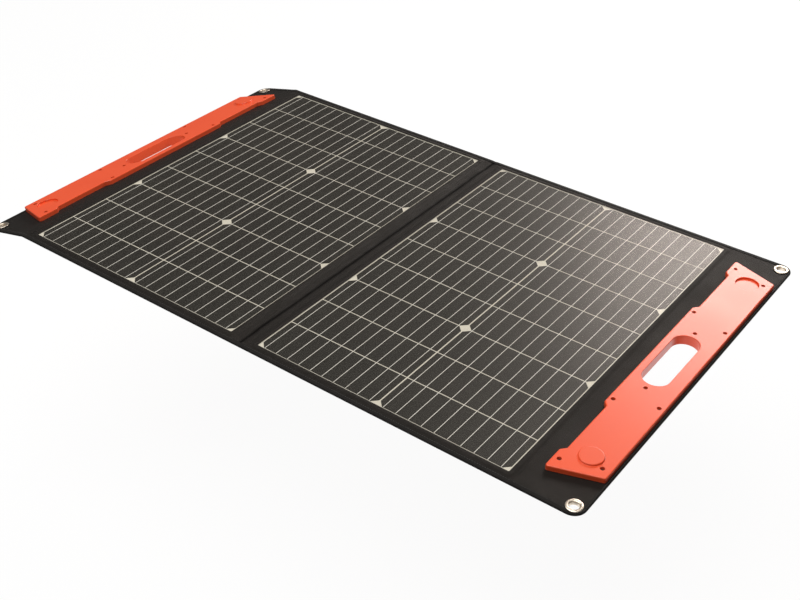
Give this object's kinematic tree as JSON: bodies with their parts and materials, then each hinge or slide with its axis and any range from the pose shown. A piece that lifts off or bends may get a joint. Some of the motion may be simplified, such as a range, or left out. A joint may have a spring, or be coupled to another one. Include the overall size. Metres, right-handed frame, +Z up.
{
  "type": "folding solar suitcase",
  "caption": "Folding two-panel solar suitcase: black fabric mat with laminated solar cells, orange slotted handle plates, corner grommets, and kickstands and cable pouch behind.",
  "frame": {"origin": "middle of the fold, on the underside of the fabric mat, opened flat", "axes": "+X to the right handle, +Y to the back edge of the mat, +Z up out of the cells"},
  "size_m": [0.9764, 0.594, 0.0341],
  "materials": {
    "mat_fabric": "satin",
    "binding_tape": "matte",
    "orange_plastic": "satin",
    "black_screw": "satin",
    "brass": "satin",
    "magnet": "polished",
    "grommet_nickel": "polished",
    "board": "matte",
    "white_backing": "satin",
    "silicon": "satin",
    "tinned_ribbon": "satin",
    "clear_film": "polished",
    "hook_and_loop": "matte",
    "webbing": "matte",
    "stand_board": "matte",
    "box_plastic": "matte",
    "rubber_seal": "matte",
    "zinc_screw": "satin",
    "copper": "satin",
    "diode_black": "satin",
    "cable_jacket": "satin"
  },
  "bodies": {
    "right_panel": {"right_back_cover": "mat_fabric", "right_front_cover": "mat_fabric", "right_edge_binding": "binding_tape", "right_substrate_board": "board", "right_backing_sheet": "white_backing", "right_solar_cells": "silicon", "right_cell_ribbons": "tinned_ribbon", "right_front_film": "clear_film", "right_hook_patch": "hook_and_loop", "right_stay_strap": "webbing", "junction_box_base": "box_plastic", "junction_box_gasket": "rubber_seal", "junction_box_lid": "box_plastic", "junction_box_screws": "zinc_screw", "junction_box_terminals": "copper", "junction_box_diodes": "diode_black", "cable_pouch": "mat_fabric", "pouch_hook_strip": "hook_and_loop", "output_cable": "cable_jacket", "output_plug": "diode_black"},
    "right_flap": {"right_flap_back_fabric": "mat_fabric", "right_flap_front_fabric": "mat_fabric", "right_flap_binding": "binding_tape", "right_handle_front_plate": "orange_plastic", "right_handle_back_plate": "orange_plastic", "right_handle_screws": "black_screw", "right_handle_inserts": "brass", "right_latch_magnets": "magnet", "right_grommets": "grommet_nickel"},
    "right_kickstand": {"right_kickstand_sleeve": "mat_fabric", "right_kickstand_board": "stand_board", "right_loop_patch": "hook_and_loop"},
    "left_panel": {"left_back_cover": "mat_fabric", "left_front_cover": "mat_fabric", "left_edge_binding": "binding_tape", "left_substrate_board": "board", "left_backing_sheet": "white_backing", "left_solar_cells": "silicon", "left_cell_ribbons": "tinned_ribbon", "left_front_film": "clear_film", "left_hook_patch": "hook_and_loop", "left_stay_strap": "webbing"},
    "left_flap": {"left_flap_back_fabric": "mat_fabric", "left_flap_front_fabric": "mat_fabric", "left_flap_binding": "binding_tape", "left_handle_front_plate": "orange_plastic", "left_handle_back_plate": "orange_plastic", "left_handle_screws": "black_screw", "left_handle_inserts": "brass", "left_latch_magnets": "magnet", "left_grommets": "grommet_nickel"},
    "left_kickstand": {"left_kickstand_sleeve": "mat_fabric", "left_kickstand_board": "stand_board", "left_loop_patch": "hook_and_loop"},
    "spine": {"spine_back_fabric": "mat_fabric", "spine_front_fabric": "mat_fabric", "spine_edge_binding": "binding_tape", "jumper_conductor": "copper"},
    "pouch_flap": {"pouch_flap": "mat_fabric", "pouch_loop_strip": "hook_and_loop"}
  },
  "joints": [
    {"name": "fold_right", "type": "hinge", "parent": "spine", "child": "right_panel", "pos_m": [0.00695, 0, 0.0031], "axis": [0, -1, 0], "range_deg": [0, 90]},
    {"name": "fold_left", "type": "hinge", "parent": "spine", "child": "left_panel", "pos_m": [-0.00695, 0, 0.0031], "axis": [0, 1, 0], "range_deg": [0, 90]},
    {"name": "right_flap_droop", "type": "hinge", "parent": "right_panel", "child": "right_flap", "pos_m": [0.409, 0, 0], "axis": [0, 1, 0], "range_deg": [0, 25]},
    {"name": "left_flap_droop", "type": "hinge", "parent": "left_panel", "child": "left_flap", "pos_m": [-0.409, 0, 0], "axis": [0, -1, 0], "range_deg": [-14, 11]},
    {"name": "right_kickstand_swing", "type": "hinge", "parent": "right_panel", "child": "right_kickstand", "pos_m": [0.207, 0.15, -0.00125], "axis": [1, 0, 0], "range_deg": [0, 60]},
    {"name": "left_kickstand_swing", "type": "hinge", "parent": "left_panel", "child": "left_kickstand", "pos_m": [-0.207, 0.15, -0.00125], "axis": [1, 0, 0], "range_deg": [0, 60]},
    {"name": "pouch_flap_swing", "type": "hinge", "parent": "right_panel", "child": "pouch_flap", "pos_m": [0.25, 0.1818, -0.0016], "axis": [-1, 0, 0], "range_deg": [0, 90]}
  ],
  "couplings": [
    {"joint": "fold_left", "follows": "fold_right", "ratio": 1}
  ]
}
